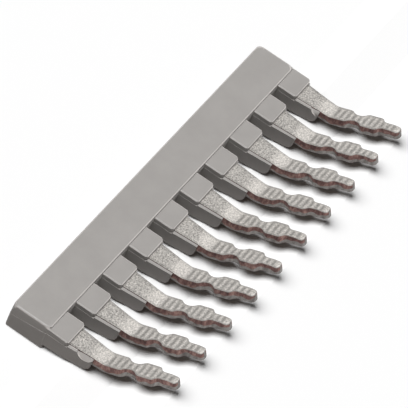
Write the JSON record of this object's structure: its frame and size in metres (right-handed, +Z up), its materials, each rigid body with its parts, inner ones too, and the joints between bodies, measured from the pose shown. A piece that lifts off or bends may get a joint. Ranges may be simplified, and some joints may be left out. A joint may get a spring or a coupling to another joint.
{
  "type": "terminal block jumper",
  "caption": "Insulated plug-in jumper for terminal blocks: a moulded bar with a row of short sleeves holding a metal comb whose bent, waved and ribbed tongues bridge neighbouring terminals.",
  "frame": {"origin": "centre of the bar's underside", "axes": "+X along the bar, +Y the way the tongues point, +Z up from the bar's underside to its top"},
  "size_m": [0.0602, 0.022, 0.0068],
  "materials": {
    "housing": "matt moulded, warm grey",
    "contact": "tin-plated copper, with bare copper on the cut edges"
  },
  "bodies": {
    "root": {"housing_base": "housing", "housing_cover": "housing", "contact_comb": "contact"}
  },
  "joints": []
}
